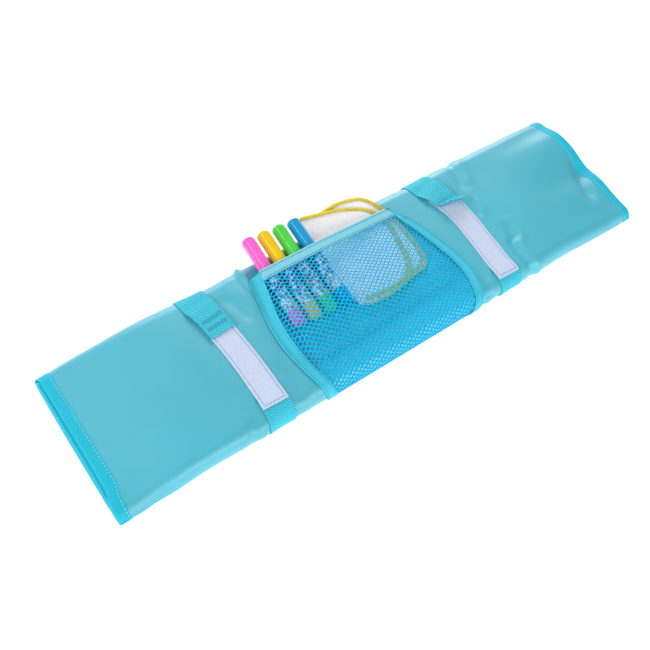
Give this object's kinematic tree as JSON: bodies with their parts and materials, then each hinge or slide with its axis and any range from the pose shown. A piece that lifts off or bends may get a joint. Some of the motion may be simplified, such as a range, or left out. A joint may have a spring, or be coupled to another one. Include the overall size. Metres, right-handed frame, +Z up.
{
  "type": "rolled craft mat with pen pocket",
  "caption": "Padded craft mat rolled flat and held by hook-and-loop webbing straps, with a mesh pocket on the outside that carries felt-tip pens and a wiping cloth.",
  "frame": {"origin": "middle of the part's footprint, on the plane under the straps that the roll rests on", "axes": "+X along the roll towards its right end, +Y towards the pocket's mouth and the pens' caps, +Z up, away from the surface it lies on"},
  "size_m": [0.61, 0.1772, 0.0468],
  "materials": {
    "skin": "satin coated cloth",
    "padding": "foam sheet",
    "lining": "smooth cloth",
    "binding": "ribbed woven tape",
    "webbing": "coarse woven webbing",
    "loop_tape": "brushed loop pile",
    "hook_tape": "moulded hooks",
    "mesh": "hexagonal net",
    "towelling": "short terry pile",
    "overlock_thread": "overlocked thread",
    "pen_barrel": "printed with coloured flecks",
    "pen_wadding": "felt",
    "pen_pink": "glossy",
    "pen_yellow": "glossy",
    "pen_green": "glossy",
    "pen_blue": "glossy",
    "pen_nib_pink": "felt",
    "pen_nib_yellow": "felt",
    "pen_nib_green": "felt",
    "pen_nib_blue": "felt"
  },
  "bodies": {
    "roll": {"mat_skin": "skin", "mat_padding": "padding", "mat_lining": "lining", "binding_left": "binding", "binding_right": "binding", "binding_outer_end": "binding", "binding_inner_end": "binding", "strap_left_webbing": "webbing", "strap_left_loop_tape": "loop_tape", "strap_right_webbing": "webbing", "strap_right_loop_tape": "loop_tape", "pocket_mesh": "mesh", "pocket_trim_mouth": "binding", "pocket_trim_left": "binding", "pocket_trim_right": "binding", "pocket_trim_bottom": "binding"},
    "strap_left_end": {"strap_left_tail": "webbing", "strap_left_hook_tape": "hook_tape"},
    "strap_right_end": {"strap_right_tail": "webbing", "strap_right_hook_tape": "hook_tape"},
    "pen_pink": {"pen_pink_barrel": "pen_barrel", "pen_pink_plug": "pen_pink", "pen_pink_reservoir": "pen_wadding", "pen_pink_nib": "pen_nib_pink"},
    "pen_pink_cap": {"pen_pink_cap": "pen_pink"},
    "pen_yellow": {"pen_yellow_barrel": "pen_barrel", "pen_yellow_plug": "pen_yellow", "pen_yellow_reservoir": "pen_wadding", "pen_yellow_nib": "pen_nib_yellow"},
    "pen_yellow_cap": {"pen_yellow_cap": "pen_yellow"},
    "pen_green": {"pen_green_barrel": "pen_barrel", "pen_green_plug": "pen_green", "pen_green_reservoir": "pen_wadding", "pen_green_nib": "pen_nib_green"},
    "pen_green_cap": {"pen_green_cap": "pen_green"},
    "pen_blue": {"pen_blue_barrel": "pen_barrel", "pen_blue_plug": "pen_blue", "pen_blue_reservoir": "pen_wadding", "pen_blue_nib": "pen_nib_blue"},
    "pen_blue_cap": {"pen_blue_cap": "pen_blue"},
    "cloth": {"cloth_towelling": "towelling", "cloth_edging": "overlock_thread"}
  },
  "joints": [
    {"name": "strap_left_open", "type": "hinge", "parent": "roll", "child": "strap_left_end", "pos_m": [-0.148, 0.05666, 0.0308], "axis": [-1, 0, 0], "range_deg": [0, 160]},
    {"name": "strap_right_open", "type": "hinge", "parent": "roll", "child": "strap_right_end", "pos_m": [0.129, 0.05666, 0.0308], "axis": [-1, 0, 0], "range_deg": [0, 160]},
    {"name": "pen_pink_slide", "type": "slide", "parent": "roll", "child": "pen_pink", "axis": [0.0976, 0.9952, 0], "range_m": [0, 0.11]},
    {"name": "pen_pink_cap_slide", "type": "slide", "parent": "pen_pink", "child": "pen_pink_cap", "axis": [0.0976, 0.9952, 0], "range_m": [0, 0.05]},
    {"name": "pen_yellow_slide", "type": "slide", "parent": "roll", "child": "pen_yellow", "axis": [0.0976, 0.9952, 0], "range_m": [0, 0.11]},
    {"name": "pen_yellow_cap_slide", "type": "slide", "parent": "pen_yellow", "child": "pen_yellow_cap", "axis": [0.0976, 0.9952, 0], "range_m": [0, 0.05]},
    {"name": "pen_green_slide", "type": "slide", "parent": "roll", "child": "pen_green", "axis": [0.0976, 0.9952, 0], "range_m": [0, 0.11]},
    {"name": "pen_green_cap_slide", "type": "slide", "parent": "pen_green", "child": "pen_green_cap", "axis": [0.0976, 0.9952, 0], "range_m": [0, 0.05]},
    {"name": "pen_blue_slide", "type": "slide", "parent": "roll", "child": "pen_blue", "axis": [0.0976, 0.9952, 0], "range_m": [0, 0.11]},
    {"name": "pen_blue_cap_slide", "type": "slide", "parent": "pen_blue", "child": "pen_blue_cap", "axis": [0.0976, 0.9952, 0], "range_m": [0, 0.05]},
    {"name": "cloth_slide", "type": "slide", "parent": "roll", "child": "cloth", "axis": [0.0976, 0.9952, 0], "range_m": [0, 0.11]}
  ]
}
